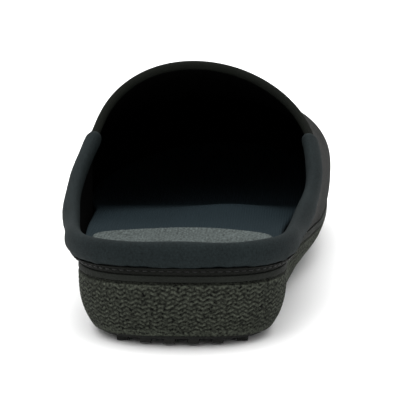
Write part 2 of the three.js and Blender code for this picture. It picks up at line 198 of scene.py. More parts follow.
def ground(y):
    """Height of the sole's underside: rear bevel, squared sine of the arch, and toe spring."""
    at = y / LENGTH
    heel = HEEL_LIFT * np.maximum(0, 1 - at / HEEL_FLAT) ** 2
    waist = np.clip((at - ARCH_START) / (ARCH_STOP - ARCH_START), 0, 1)
    toe = np.maximum(0, (at - TOE_START) / (1 - TOE_START))
    return heel + ARCH_LIFT * np.sin(np.pi * waist) ** 2 + TOE_SPRING * toe**TOE_POWER


def sole_top(y):
    """Height of the foam sole's top: the ground line plus the sole's thickness there."""
    return ground(y) + last("thick", y / LENGTH) * SOLE_HEIGHT


def sole_place(at, across, w, inset=0.0):
    """Plan of the sole at height w of its wall: half the foot width, less an undercut that goes
    as (1 - w)^curve, times the ends' rounding and across from -1 to 1."""
    drop = (1 - w) ** last("curve", at)
    half = last("foot", at) * BALL_WIDTH + WELT_LIP - inset - last("under", at) * SOLE_HEIGHT * drop
    back = BACK_TUCK - WELT_LIP + inset + BACK_UNDERCUT * drop
    front = LENGTH - TOE_TUCK + WELT_LIP - inset - TOE_UNDERCUT * drop
    return last("mid", at) * BALL_WIDTH + across * half * ends(at), mix(back, front, at)


heel_corner = min((v.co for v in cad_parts["midsole"].data.vertices), key=lambda co: co.y)
ORIGIN = np.array([
    LAST["mid"][0] * BALL_WIDTH - heel_corner.x * 1000,
    BACK_TUCK - WELT_LIP - heel_corner.y * 1000,
    0,
])


def to_frame(places):
    """Shoe millimetres to frame metres: less the frame's origin, over a thousand."""
    return (places - ORIGIN) / 1000


def outline_stations(count):
    """Shares of the length, heel to toe, at even steps of the sole's outline at its top."""
    fine = (1 - np.cos(np.pi * np.linspace(0, 1, 20001))) / 2
    x, y = sole_place(fine, 1, 1)
    run = np.concatenate([[0], np.cumsum(np.hypot(np.diff(x), np.diff(y)))])
    return np.interp(np.linspace(0, run[-1], count), run, fine)


def lengths(path):
    """Distance along a path of points, from its first one, in the path's own unit."""
    return np.concatenate([[0], np.cumsum(np.linalg.norm(np.diff(path, axis=0), axis=1))])


def grid_normals(grid):
    """Outward unit normals of a grid of points: cross product of its two directions of change."""
    normals = np.cross(np.gradient(grid, axis=0), np.gradient(grid, axis=1))
    return normals / np.maximum(np.linalg.norm(normals, axis=2, keepdims=True), 1e-9)


def grid_faces(columns, rows, first=0):
    """Quads of a columns by rows grid, outward where columns run right and rows run up."""
    c, r = np.meshgrid(np.arange(columns - 1), np.arange(rows - 1), indexing="ij")
    corner = first + (c * rows + r).ravel()
    return np.stack([corner, corner + rows, corner + rows + 1, corner + 1], axis=1)


def make_piece(name, grids, finishes, nodes=(), maps=None, painted_shade_masks=None):
    """One closed mesh from grids of shoe points, welded where they meet, with one finish to each
    grid. maps are the grids' flat places in millimetres, kept as the piece's own UV map, and the
    last argument gives shares from 0 to 1 of how deep each point lies in a groove, kept as an
    attribute by which a finish darkens its colour there: painted shade in the grooves."""
    points = np.concatenate([grid.reshape(-1, 3) for grid in grids])
    firsts = np.cumsum([0] + [grid.shape[0] * grid.shape[1] for grid in grids])
    quads = [grid_faces(*grid.shape[:2], first) for grid, first in zip(grids, firsts)]
    faces = np.concatenate(quads)
    mesh = bpy.data.meshes.new(name)
    mesh.from_pydata(to_frame(points).tolist(), [], faces.tolist())
    paints = list(dict.fromkeys(finishes))
    for paint in paints:
        mesh.materials.append(paint)
    painted = [np.full(len(part), paints.index(paint)) for part, paint in zip(quads, finishes)]
    mesh.polygons.foreach_set("material_index", np.concatenate(painted).astype(np.int32))
    if maps is not None:
        flat = np.concatenate([place.reshape(-1, 2) for place in maps])
        layer = mesh.uv_layers.new(name="surface")
        layer.data.foreach_set("uv", (flat[faces.ravel()] / 1000).ravel())
    if painted_shade_masks is not None:
        depths = mesh.attributes.new("painted_shade_mask", "FLOAT", "POINT")
        depths.data.foreach_set("value", np.concatenate([h.ravel() for h in painted_shade_masks]).astype(np.float32))
    welded = bmesh.new()
    welded.from_mesh(mesh)
    bmesh.ops.remove_doubles(welded, verts=welded.verts, dist=2e-6)
    bmesh.ops.dissolve_degenerate(welded, edges=welded.edges, dist=1e-7)
    welded.to_mesh(mesh)
    welded.free()
    mesh.shade_smooth()
    piece = bpy.data.objects.new(name, mesh)
    bpy.context.scene.collection.objects.link(piece)
    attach(piece, "root")
    if nodes:
        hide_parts(*nodes)
    return piece


def node_group(name, inputs, outputs):
    """An empty shader group with named sockets, and its two end nodes."""
    group = bpy.data.node_groups.new(name, "ShaderNodeTree")
    for socket, (kind, value) in inputs.items():
        made = group.interface.new_socket(name=socket, in_out="INPUT", socket_type=kind)
        if value is not None:
            made.default_value = value
    for socket, kind in outputs.items():
        group.interface.new_socket(name=socket, in_out="OUTPUT", socket_type=kind)
    return group, group.nodes.new("NodeGroupInput"), group.nodes.new("NodeGroupOutput")


def math_node(tree, operation, *operands):
    """A Math node whose operands are sockets or numbers; gives its result's socket."""
    node = tree.nodes.new("ShaderNodeMath")
    node.operation = operation
    for socket, operand in zip(node.inputs, operands):
        if isinstance(operand, (int, float)):
            socket.default_value = operand
        else:
            tree.links.new(operand, socket)
    return node.outputs[0]


def noise_node(tree, place, scale, detail, roughness=0.5):
    """A noise texture at the given place; gives its value's socket."""
    node = tree.nodes.new("ShaderNodeTexNoise")
    tree.links.new(place, node.inputs["Vector"])
    node.inputs["Detail"].default_value = detail
    node.inputs["Roughness"].default_value = roughness
    if isinstance(scale, (int, float)):
        node.inputs["Scale"].default_value = scale
    else:
        tree.links.new(scale, node.inputs["Scale"])
    return node.outputs["Fac"]


# Fine grain shared by the moulded and the leather finishes: small cells over finer noise
GRAIN, grain_in, grain_out = node_group(
    "moulded_grain",
    {
        "Place": ("NodeSocketVector", None),
        "Cells": ("NodeSocketFloat", 900.0),
        "Softness": ("NodeSocketFloat", 0.5),
    },
    {"Height": "NodeSocketFloat"},
)
cells = GRAIN.nodes.new("ShaderNodeTexVoronoi")
GRAIN.links.new(grain_in.outputs["Place"], cells.inputs["Vector"])
GRAIN.links.new(grain_in.outputs["Cells"], cells.inputs["Scale"])
fine_noise = noise_node(GRAIN, grain_in.outputs["Place"], grain_in.outputs["Cells"], 3.0, 0.6)
softened = math_node(GRAIN, "MULTIPLY", fine_noise, grain_in.outputs["Softness"])
grain_height = math_node(GRAIN, "ADD", cells.outputs["Distance"], softened)
GRAIN.links.new(grain_height, grain_out.inputs["Height"])

# Uneven tone shared by every finish: large soft patches and fine specks, about 1 on the whole
TONE, tone_in, tone_out = node_group(
    "uneven_tone",
    {
        "Place": ("NodeSocketVector", None),
        "Patches": ("NodeSocketFloat", 40.0),
        "Patch Strength": ("NodeSocketFloat", 0.3),
        "Specks": ("NodeSocketFloat", 1500.0),
        "Speck Strength": ("NodeSocketFloat", 0.3),
    },
    {"Tone": "NodeSocketFloat"},
)
patches = noise_node(TONE, tone_in.outputs["Place"], tone_in.outputs["Patches"], 3.0)
specks = noise_node(TONE, tone_in.outputs["Place"], tone_in.outputs["Specks"], 1.0)
patch_part, speck_part = (
    math_node(TONE, "MULTIPLY", math_node(TONE, "SUBTRACT", noise, 0.5), tone_in.outputs[strength])
    for noise, strength in ((patches, "Patch Strength"), (specks, "Speck Strength"))
)
tone_sum = math_node(TONE, "ADD", math_node(TONE, "ADD", patch_part, speck_part), 1.0)
TONE.links.new(tone_sum, tone_out.inputs["Tone"])


def place_on(group, tree, place, **values):
    """The group as a node in a material, fed with a place and its own values."""
    node = tree.nodes.new("ShaderNodeGroup")
    node.node_tree = group
    tree.links.new(place, node.inputs["Place"])
    for socket, value in values.items():
        node.inputs[socket.replace("_", " ")].default_value = value
    return node


def object_place(tree):
    """The Object coordinates' socket of a material."""
    return tree.nodes.new("ShaderNodeTexCoord").outputs["Object"]


def tint(tree, shader, colour, tone):
    """Multiplies a colour by a tone and feeds it to the shader's Base Color."""
    scaled = tree.nodes.new("ShaderNodeVectorMath")
    scaled.operation = "SCALE"
    scaled.inputs[0].default_value = colour[:3]
    tree.links.new(tone, scaled.inputs["Scale"])
    tree.links.new(scaled.outputs["Vector"], shader.inputs["Base Color"])


def bump(tree, shader, height, depth):
    """Raises the shader's normal by a height field of the given depth in metres."""
    node = tree.nodes.new("ShaderNodeBump")
    node.inputs["Distance"].default_value = depth
    tree.links.new(height, node.inputs["Height"])
    tree.links.new(node.outputs["Normal"], shader.inputs["Normal"])


tread_rubber, shader = principled("tread_rubber", RUBBER_BLACK, 0.7)
tree = tread_rubber.node_tree
place = object_place(tree)
tint(tree, shader, RUBBER_BLACK, place_on(TONE, tree, place, Patch_Strength=0.8).outputs["Tone"])
bump(tree, shader, place_on(GRAIN, tree, place, Cells=700.0).outputs["Height"], 0.0002)
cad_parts["outsole"].data.materials.clear()
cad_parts["outsole"].data.materials.append(tread_rubber)

# Foam sole: one thick block of moulded foam. Its wall carries a fine zigzag relief in rows that
# follow the top edge, stands back in a narrow groove under the welt, bellies out above the tread
# and is hollowed to an undercut at its foot. Its colour is darkened in the relief's grooves and in
# the groove under the welt: painted shade, not a colour of the foam.
ZIGZAG_PERIOD = 4.6
ZIGZAG_SWING = 1.2
ZIGZAG_PITCH = 1.78
ZIGZAG_DEPTH = 0.5
ZIGZAG_SHARPNESS = 1.6
FADE_TOP, FADE_FOOT = 0.5, 1.5
PLAIN_TOP = 1.2
SEAM_TALL, SEAM_SLOPE, SEAM_RECESS = 1.0, 0.4, 0.9
PLAIN_FOOT = 1.6
WALL_COLUMNS = 680
WALL_ROWS = 62
PLAIN_ROWS_END = 0.96
GROOVE_ROWS = (0.97, 0.98, 0.99, 1)
CAP_ROWS = 3
FOAM_GREY = linear(50, 53, 46)
# Share by which the foam's colour is darkened at the bottom of a groove: painted shade.
PAINTED_GROOVE_SHADE = 0.7
TREAD = LUG_HEIGHT + TREAD_SKIN


def ring(stations):
    """Stations and sides once round the outline: medial heel to toe, then lateral back again."""
    at = np.concatenate([stations, stations[-2::-1]])
    side = np.concatenate([np.ones(len(stations)), -np.ones(len(stations) - 1)])
    return at, side


def sole_surface(at, across, w):
    """Point of the foam sole: its plan at height w, raised from the tread to the sole's top."""
    x, y = sole_place(at, across, w)
    z = mix(ground(y) + TREAD + GAP, sole_top(y), w)
    return np.stack(np.broadcast_arrays(x, y, z), axis=-1)


def zigzag_relief(along, down, whole):
    """Depth of the relief: grooves a pitch apart, shifted by a triangle wave along the wall.

    The groove is (0.5 + 0.5 cos)^sharpness of the distance down, and it fades at both edges.
    """
    period = whole / np.round(whole / ZIGZAG_PERIOD)
    triangle = 2 * np.abs(along / period - np.floor(along / period + 0.5))
    phase = (down + ZIGZAG_SWING * triangle) / ZIGZAG_PITCH
    groove = (0.5 + 0.5 * np.cos(2 * np.pi * phase)) ** ZIGZAG_SHARPNESS
    height = down.max(axis=1, keepdims=True)
    fade = np.clip((down - PLAIN_TOP) / FADE_TOP, 0, 1)
    return groove * fade * np.clip((height - down - PLAIN_FOOT) / FADE_FOOT, 0, 1)


at, side = ring(outline_stations(WALL_COLUMNS))
rows = np.append(np.linspace(0, PLAIN_ROWS_END, WALL_ROWS), GROOVE_ROWS)
wall = sole_surface(at[:, None], side[:, None], rows[None, :])
along = np.broadcast_to(lengths(wall[:, -1])[:, None], wall.shape[:2])
climb = np.linalg.norm(np.diff(wall, axis=1), axis=2)
down = np.concatenate([np.cumsum(climb[:, ::-1], axis=1)[:, ::-1], np.zeros((len(at), 1))], axis=1)
relief = zigzag_relief(along, down, along[-1, 0])
recess = np.clip((SEAM_TALL - down) / SEAM_SLOPE, 0, 1)
normals = grid_normals(wall)
normals[0] = normals[-1] = (0, -1, 0)
wall = wall - normals * (ZIGZAG_DEPTH * relief + SEAM_RECESS * recess)[..., None]
shares = np.linspace(1, 0, CAP_ROWS)
middle_line = sole_surface(at, 0, 1.0)[:, None]
top_cap = mix(middle_line, wall[:, -1:], shares[None, :, None])
foot_cap = sole_surface(at[:, None], side[:, None] * shares[None, ::-1], 0.0)

sole_foam, shader = principled("sole_foam", FOAM_GREY, 0.8, specular=0.08)
tree = sole_foam.node_tree
place = object_place(tree)
# Painted shade: the colour is darkened by how deep each point lies in a groove of the relief or in the
# recess under the welt.
painted_shade_mask = tree.nodes.new("ShaderNodeAttribute")
painted_shade_mask.attribute_name = "painted_shade_mask"
painted_groove_shading = math_node(tree, "SUBTRACT", 1.0, math_node(tree, "MULTIPLY", painted_shade_mask.outputs["Fac"], PAINTED_GROOVE_SHADE))
tone = place_on(TONE, tree, place, Patches=30.0, Patch_Strength=0.5, Specks=1000.0, Speck_Strength=4.0)
tint(tree, shader, FOAM_GREY, math_node(tree, "MULTIPLY", tone.outputs["Tone"], painted_groove_shading))
bump(tree, shader, place_on(GRAIN, tree, place, Cells=1300.0, Softness=0.9).outputs["Height"], 0.00035)
level = np.zeros((len(at), CAP_ROWS))
make_piece(
    "foam_sole",
    [wall, top_cap, foot_cap],
    [sole_foam] * 3,
    ["midsole"],
    painted_shade_masks=[np.maximum(relief, recess), level, level],
)

# Welt: a flat strip of dark rubber between the foam and the upper's foot, glued to both, with its
# outer edges eased.
WELT_EASE = 0.4
WELT_RISE = 2.45
WELT_COLUMNS = 360
WELT_BLACK = linear(26, 28, 25)
EASE_STEPS = np.linspace(0, np.pi / 2, 5)


def welt_surface(at, side, inset, rise):
    """Point of the welt: the sole's outline at its top, drawn in, and raised above the foam."""
    x, y = sole_place(at, side, 1.0, inset)
    return np.stack(np.broadcast_arrays(x, y, sole_top(y) + GAP + rise), axis=-1)


at, side = ring(outline_stations(WELT_COLUMNS))
lower_inset = WELT_EASE * (1 - np.sin(EASE_STEPS))
lower_rise = WELT_EASE * (1 - np.cos(EASE_STEPS))
insets = np.concatenate([[WELT_LIP + WALL], lower_inset, lower_inset[::-1], [WELT_LIP + WALL] * 2])
rises = np.concatenate([[0], lower_rise, WELT_RISE - lower_rise[::-1], [WELT_RISE, 0]])
welt_grid = welt_surface(at[:, None], side[:, None], insets[None, :], rises[None, :])
welt_strip, shader = principled("welt_strip", WELT_BLACK, 0.8, specular=0.08)
tree = welt_strip.node_tree
place = object_place(tree)
tint(tree, shader, WELT_BLACK, place_on(TONE, tree, place, Patch_Strength=0.7).outputs["Tone"])
bump(tree, shader, place_on(GRAIN, tree, place, Cells=1000.0).outputs["Height"], 0.0002)
make_piece("welt_strip", [welt_grid], [welt_strip], ["welt"])

# Upper: matt black leather over a dark lining, one piece from toe to instep that narrows to a low
# band round the heel. It is lasted under and bonded to the welt.
THROAT, NOTCH = 0.4736, 0.409
TOPLINE_AT = (0, 0.088, 0.169, 0.229, 0.282, 0.335, 0.38, 0.415, 0.44, 0.461, THROAT)
TOPLINE_RISE = (0.043, 0.046, 0.074, 0.125, 0.206, 0.316, 0.438, 0.557, 0.688, 0.84, 0.985)
SEAT = GAP + WELT_THICK + GAP
RIM_COLUMNS, ARCH_COLUMNS, VAMP_COLUMNS = 120, 50, 150
UPPER_ROWS = 44
SEAM_BELOW = 1.5
SEAM_DEPTH = 0.45
SEAM_WIDTH = 0.5
SEAM_FADE = 0.01
LEATHER_BLACK = linear(16, 17, 15)
LINING_BLACK = linear(5, 5, 5)
# Flex creases over the vamp: where each crosses the ridge, its slant and bow across, how far it
# runs to each side, its depth and its width. A crease's low ridges rise by a share of its depth,
# and it fades over the lowest part of the vamp's side.
RIDGE_SHARE, CREASE_FADE = 0.35, 4
CREASES = (
    {"y": 176, "slant": 0.10, "bow": 0.0040, "reach": 34, "depth": 0.9, "width": 4.5},
    {"y": 193, "slant": 0.16, "bow": 0.0030, "reach": 40, "depth": 1.2, "width": 5.0},
    {"y": 211, "slant": 0.20, "bow": 0.0020, "reach": 36, "depth": 0.8, "width": 4.5},
)


def upper_surface(at, around, side, inset=0.0):
    """Point of the upper: a quarter ellipse from the ridge to the fullest part, then an arc that
    turns under to the welt. The ridge leans by the square of the height above the fullest part."""
    full = (last("half", at) * BALL_WIDTH - inset) * ends(at)
    narrow = (last("foot", at) * BALL_WIDTH - inset) * ends(at)
    over = np.clip(around / SPLIT, 0, 1) * np.pi / 2
    under = np.clip((around - SPLIT) / (1 - SPLIT), 0, 1) * TURN_UNDER
    tuck = (1 - np.cos(under)) / (1 - np.cos(TURN_UNDER))
    y = mix(inset + BACK_TUCK * tuck, LENGTH - inset - TOE_TUCK * tuck, at)
    foot, belly, ridge, top = upper_heights(at, y, inset)
    above = around < SPLIT
    out = np.where(above, full * np.sin(over), mix(full, narrow, tuck))
    lower = belly - (belly - foot) * np.sin(under) / np.sin(TURN_UNDER)
    z = np.where(above, belly + (top - belly) * np.cos(over), lower)
    lift = np.clip((z - belly) / (ridge - belly), 0, 1)
    centre = last("mid", at) + last("sway", at) * (1 - tuck) + last("lean", at) * lift**2
    return np.stack(np.broadcast_arrays(centre * BALL_WIDTH + side * out, y, z), axis=-1)


def upper_heights(at, y, inset):
    """Heights of the upper's foot, fullest part, ridge, and top once the toe is rounded down."""
    foot = sole_top(y) + SEAT
    belly = foot + last("belly", at) * UPPER_HEIGHT
    ridge = foot + last("ridge", at) * UPPER_HEIGHT
    return foot, belly, ridge, belly + (ridge - inset - belly) * rounding(TOE_TOP, 1 - at)


def topline_around(at):
    """Where round its section the upper's top edge lies, from the edge's height at a station."""
    foot, belly, _, top = upper_heights(at, at * LENGTH, 0.0)
    z = foot + smooth(TOPLINE_AT, TOPLINE_RISE, np.minimum(at, THROAT)) * UPPER_HEIGHT
    share = np.clip((z - belly) / np.maximum(top - belly, 1e-6), 0, 1)
    over = np.arccos(share) / (np.pi / 2) * SPLIT
    under = np.arcsin(np.clip((belly - z) / (belly - foot), 0, 1) * np.sin(TURN_UNDER))
    edge = np.where(z > belly, over, SPLIT + (1 - SPLIT) * under / TURN_UNDER)
    return np.where(at >= THROAT, 0.0, edge)


def trough(distance, depth, width):
    """Soft trough with a low ridge at each side: Gaussians at 0 and at twice the width."""
    dip = np.exp(-((distance / width) ** 2))
    swell = np.exp(-(((np.abs(distance) - 2 * width) / width) ** 2))
    return depth * (RIDGE_SHARE * swell - dip)


half_at = np.concatenate([
    NOTCH * (1 - np.cos(np.linspace(0, np.pi / 2, RIM_COLUMNS))),
    mix(THROAT, NOTCH, np.linspace(1, 0, ARCH_COLUMNS)[1:] ** 2),
    mix(THROAT, 1, np.sin(np.linspace(0, np.pi / 2, VAMP_COLUMNS)))[1:],
])
at = np.concatenate([half_at[::-1], half_at[1:]])
side = np.concatenate([-np.ones(len(half_at)), np.ones(len(half_at) - 1)])
edge = topline_around(at)
around = mix(edge[:, None], 1.0, np.linspace(0, 1, UPPER_ROWS)[None, :])
outside = upper_surface(at[:, None], around, side[:, None])
inside = upper_surface(at[:, None], around, side[:, None], WALL)

# The low band's sewn groove, then the vamp's creases, on the outer face
fall = np.linalg.norm(np.diff(outside, axis=1), axis=2)
below_edge = np.concatenate([np.zeros((len(at), 1)), np.cumsum(fall, axis=1)], axis=1)
on_band = np.clip((NOTCH - at) / SEAM_FADE, 0, 1)[:, None]
seam = SEAM_DEPTH * np.exp(-(((below_edge - SEAM_BELOW) / SEAM_WIDTH) ** 2))
inward = -grid_normals(outside[:, ::-1])[:, ::-1]
heel = len(half_at) - 1
inward[heel] = (inward[heel - 1] + inward[heel + 1]) / 2
outside = outside + inward * (seam * on_band)[..., None]
x, y, z = np.moveaxis(outside, 2, 0)
centre = outside[:, :1, 0]
dent = sum(
    trough(y - c["y"] - c["slant"] * (x - centre) + c["bow"] * (x - centre) ** 2, c["depth"], c["width"])
    * np.exp(-(((x - centre) / c["reach"]) ** 4))
    for c in CREASES
)
foot, belly, _, top = upper_heights(at[:, None], y, 0.0)
rising = np.clip((z - belly) / np.maximum(top - belly, 1), 0, 1)
outside[..., 2] += dent * rising
outside[..., 0] += dent * side[:, None] * (1 - rising) * np.clip(rising * CREASE_FADE, 0, 1)

opening = at <= THROAT
foot_strip = np.stack([inside[:, -1], outside[:, -1]], axis=1)
edge_strip = np.stack([outside[opening, 0], inside[opening, 0]], axis=1)

vamp_leather, shader = principled("vamp_leather", LEATHER_BLACK, 0.8, specular=0.06)
tree = vamp_leather.node_tree
place = object_place(tree)
tone = place_on(TONE, tree, place, Patches=25.0, Patch_Strength=0.6, Specks=900.0, Speck_Strength=0.3)
tint(tree, shader, LEATHER_BLACK, tone.outputs["Tone"])
bump(tree, shader, place_on(GRAIN, tree, place, Cells=850.0).outputs["Height"], 0.0003)
lining, shader = principled("dark_lining", LINING_BLACK, 0.95, specular=0.03)
tree = lining.node_tree
place = object_place(tree)
tone = place_on(TONE, tree, place, Specks=1800.0, Speck_Strength=0.8)
tint(tree, shader, LINING_BLACK, tone.outputs["Tone"])
bump(tree, shader, place_on(GRAIN, tree, place, Cells=1600.0).outputs["Height"], 0.0002)
make_piece(
    "leather_upper",
    [outside[:, ::-1], inside, foot_strip, edge_strip],
    [vamp_leather, lining, vamp_leather, vamp_leather],
    ["upper"],
)

# Rim: a soft roll of foam under slate knit fabric round the heel's top edge, sewn to the band along
# its lower edge, which gathers it into small puckers. Each end tapers into the vamp's notch.
RIM_THICK, RIM_HEIGHT, RIM_BULGE, RIM_END = 6.4, 9.6, 2.0, 4.0
RIM_STEPS, RIM_SIDES = 720, 40
PUCKERS = ((0.09, 5.7, 0.4), (0.08, 8.9, 1.9), (0.1, 13.3, 4.1))
SWELLS = ((0.16, 47.0, 0.9), (0.12, 31.0, 2.6))
PUCKER_ANGLE, PUCKER_SPREAD = np.radians(-62), 0.75
SLATE = linear(23, 29, 30)


def evenly(path, run, count):
    """Points at even steps of a run along a path, by straight blends between its own points."""
    steps = np.linspace(0, run[-1], count)
    return np.stack([np.interp(steps, run, path[:, k]) for k in range(3)], axis=-1)


def edge_frame(at, side, turn, count):
    """The upper's top edge at even steps with, at each, the unit directions outwards and off the
    edge: the way from the inner to the outer face, crossed with the edge's own direction."""
    around = topline_around(at)
    outer = upper_surface(at, around, side)
    inner = upper_surface(at, around, side, WALL)
    run = lengths(outer)
    outer, inner = evenly(outer, run, count), evenly(inner, run, count)
    away = outer - inner
    along = np.gradient(outer, axis=0)
    along /= np.linalg.norm(along, axis=1, keepdims=True)
    off = np.cross(away, along) * turn
    off /= np.linalg.norm(off, axis=1, keepdims=True)
    return outer, np.cross(along, off) * turn, off


def bead(edge, out, off, angles, thick, high, rise, shift, end, swell=0.0):
    """Bead on the top edge: an ellipse thick by high, rise off the edge and shift outwards, plus
    a swell along its radius; its size falls as a quarter circle over the length of each end."""
    run = lengths(edge)
    size = rounding((end, 2), np.minimum(run, run[-1] - run))[:, None]
    x = shift + size * (thick / 2 + swell) * np.cos(angles)[None, :]
    z = rise + size * (high / 2 + swell) * np.sin(angles)[None, :]
    return edge[:, None] + x[..., None] * out[:, None] + z[..., None] * off[:, None], run


step = np.linspace(-1, 1, 4001)
rim_at = NOTCH * (1 - np.cos(np.pi * step)) / 2
rim_side = np.where(step < 0, -1.0, 1.0)
rim_edge, rim_out, rim_off = edge_frame(rim_at, rim_side, 1, RIM_STEPS)
angles = np.linspace(0, 2 * np.pi, RIM_SIDES + 1)
run = lengths(rim_edge)
gather = sum(depth * np.sin(2 * np.pi * run / wave + start) for depth, wave, start in PUCKERS)
unevenness = sum(depth * np.sin(2 * np.pi * run / wave + start) for depth, wave, start in SWELLS)
turned = np.angle(np.exp(1j * (angles - PUCKER_ANGLE)))
near_seam = np.exp(-((turned / PUCKER_SPREAD) ** 2))
swell = gather[:, None] * near_seam[None, :] + unevenness[:, None]
rim_rise, rim_shift = GAP + RIM_HEIGHT / 2, RIM_BULGE - RIM_THICK / 2
rim, run = bead(
    rim_edge, rim_out, rim_off, angles, RIM_THICK, RIM_HEIGHT, rim_rise, rim_shift, RIM_END, swell
)
girth = np.pi * (RIM_THICK + RIM_HEIGHT) / 2
rim_map = np.stack(np.broadcast_arrays(run[:, None], angles[None, :] / (2 * np.pi) * girth), axis=-1)

# Knit shared by the fabrics: columns of loops, each loop's crown shifted by its column
KNIT, knit_in, knit_out = node_group(
    "knit_loops",
    {"Place": ("NodeSocketVector", None), "Loops": ("NodeSocketFloat", 900.0)},
    {"Height": "NodeSocketFloat"},
)
axes = KNIT.nodes.new("ShaderNodeSeparateXYZ")
KNIT.links.new(knit_in.outputs["Place"], axes.inputs["Vector"])
turns = math_node(KNIT, "MULTIPLY", knit_in.outputs["Loops"], np.pi)
wave = math_node(KNIT, "SINE", math_node(KNIT, "MULTIPLY", axes.outputs["X"], turns))
wale = math_node(KNIT, "ABSOLUTE", wave)
course = math_node(KNIT, "MULTIPLY", math_node(KNIT, "MULTIPLY", axes.outputs["Y"], turns), 2.0)
crown = math_node(KNIT, "SINE", math_node(KNIT, "ADD", course, math_node(KNIT, "MULTIPLY", wale, 3.0)))
crown_part = math_node(KNIT, "ADD", math_node(KNIT, "MULTIPLY", crown, 0.25), 0.75)
loop = math_node(KNIT, "MULTIPLY", wale, crown_part)
KNIT.links.new(loop, knit_out.inputs["Height"])


def surface_place(tree):
    """The socket of the piece's own UV map, in metres along and across the cloth."""
    node = tree.nodes.new("ShaderNodeUVMap")
    node.uv_map = "surface"
    return node.outputs["UV"]


rim_fabric, shader = principled("rim_fabric", SLATE, 0.85, specular=0.08)
tree = rim_fabric.node_tree
place = object_place(tree)
tone = place_on(TONE, tree, place, Patches=55.0, Patch_Strength=0.7, Specks=1300.0, Speck_Strength=1.3)
tint(tree, shader, SLATE, tone.outputs["Tone"])
bump(tree, shader, place_on(KNIT, tree, surface_place(tree), Loops=1400.0).outputs["Height"], 0.00008)
padded_rim = make_piece("padded_rim", [rim], [rim_fabric], ["collar_rim"], [rim_map])

# Vamp binding: a narrow strip of grosgrain folded over the vamp's arched edge and sewn through.
BINDING_HEIGHT, BINDING_COVER, BINDING_END = 3.2, 0.6, 1.0
BINDING_STEPS, BINDING_SIDES = 260, 24
BINDING_GREY = linear(20, 22, 19)

climb = mix(THROAT, NOTCH, np.linspace(1, 0, 2001) ** 2)
arch_at = np.concatenate([climb, climb[-2::-1]])
arch_side = np.concatenate([-np.ones(len(climb)), np.ones(len(climb) - 1)])
arch_edge, arch_out, arch_off = edge_frame(arch_at, arch_side, -1, BINDING_STEPS)
angles = np.linspace(0, -2 * np.pi, BINDING_SIDES + 1)
thick, rise = WALL + 2 * BINDING_COVER, GAP + BINDING_HEIGHT / 2
binding, run = bead(
    arch_edge, arch_out, arch_off, angles, thick, BINDING_HEIGHT, rise, -WALL / 2, BINDING_END
)
girth = np.pi * (thick + BINDING_HEIGHT) / 2
round_it = angles[None, :] / (-2 * np.pi) * girth
binding_map = np.stack(np.broadcast_arrays(run[:, None], round_it), axis=-1)
binding_fabric, shader = principled("binding_fabric", BINDING_GREY, 0.85, specular=0.05)
tree = binding_fabric.node_tree
tone = place_on(TONE, tree, object_place(tree), Specks=1500.0, Speck_Strength=0.6)
tint(tree, shader, BINDING_GREY, tone.outputs["Tone"])
bump(tree, shader, place_on(KNIT, tree, surface_place(tree), Loops=1500.0).outputs["Height"], 0.00015)
make_piece(
    "edge_binding", [binding], [binding_fabric], ["vamp_binding"], [binding_map]
)

# Stitches: one row of dark waxed thread in the seam under the rim, and one along the binding.
# Each stitch is a short arched length of thread that sinks into the leather at both ends.
STITCH_LENGTH, STITCH_PITCH, STITCH_RADIUS, STITCH_ARCH = 2.3, 3.1, 0.36, 0.25
THREAD_BLACK = linear(9, 10, 9)
BINDING_SEAM = 1.6
BINDING_SINK = 0.3


def below_edge_line(at, side, drop, count):
    """A line on the upper's outer face at a distance in from its top edge, and the unit normals:
    the edge at even steps, moved in the surface, square to its own direction, by least squares in
    the surface's two parameters."""
    run = lengths(upper_surface(at, topline_around(at), side))
    even = np.searchsorted(run, np.linspace(0, run[-1], count + 2)[1:-1])
    at, side = at[even], side[even]
    around = topline_around(at)
    edge = upper_surface(at, around, side)
    small = 1e-4
    per_at = (upper_surface(at + small, around, side) - edge) / small
    per_around = (upper_surface(at, around + small, side) - edge) / small
    normal = np.cross(per_around, per_at) * side[:, None]
    normal /= np.linalg.norm(normal, axis=1, keepdims=True)
    inwards = np.cross(normal, np.gradient(edge, axis=0))
    inwards *= np.sign(inwards @ (0, 1, -1))[:, None] / np.linalg.norm(inwards, axis=1, keepdims=True)
    products = ((per_at, per_at), (per_at, per_around), (per_around, per_around))
    a, b, c = (np.sum(p * q, axis=1) for p, q in products)
    d, e = (np.sum(p * inwards, axis=1) for p in (per_at, per_around))
    scale = drop / (a * c - b * b)
    moved = at + (c * d - b * e) * scale, np.maximum(around + (a * e - b * d) * scale, 0)
    return upper_surface(*moved, side), normal


def stitch_row(line, normal, sink):
    """Grids of the stitches along a line: on each, an arch 1 - t^2 along the line, swept by a
    circle whose radius falls as (1 - t^4)^0.5 to nothing at both ends."""
    run = lengths(line)
    count = int(run[-1] // STITCH_PITCH)
    centres = (np.arange(count) + 0.5) * run[-1] / count
    t = np.linspace(-1, 1, 9)
    places = centres[:, None] + t[None, :] * STITCH_LENGTH / 2
    spine = np.stack([np.interp(places, run, line[:, k]) for k in range(3)], axis=-1)
    up = np.stack([np.interp(places, run, normal[:, k]) for k in range(3)], axis=-1)
    up /= np.linalg.norm(up, axis=2, keepdims=True)
    across = np.cross(up, np.gradient(spine, axis=1))
    across /= np.linalg.norm(across, axis=2, keepdims=True)
    spine = spine + up * (STITCH_ARCH * (1 - t**2) - sink)[None, :, None]
    angles = np.linspace(0, 2 * np.pi, 9)
    radius = (STITCH_RADIUS * np.sqrt(1 - t**4))[None, :, None, None]
    circle = np.cos(angles)[:, None] * across[:, :, None] + np.sin(angles)[:, None] * up[:, :, None]
    return list(spine[:, :, None] + radius * circle)


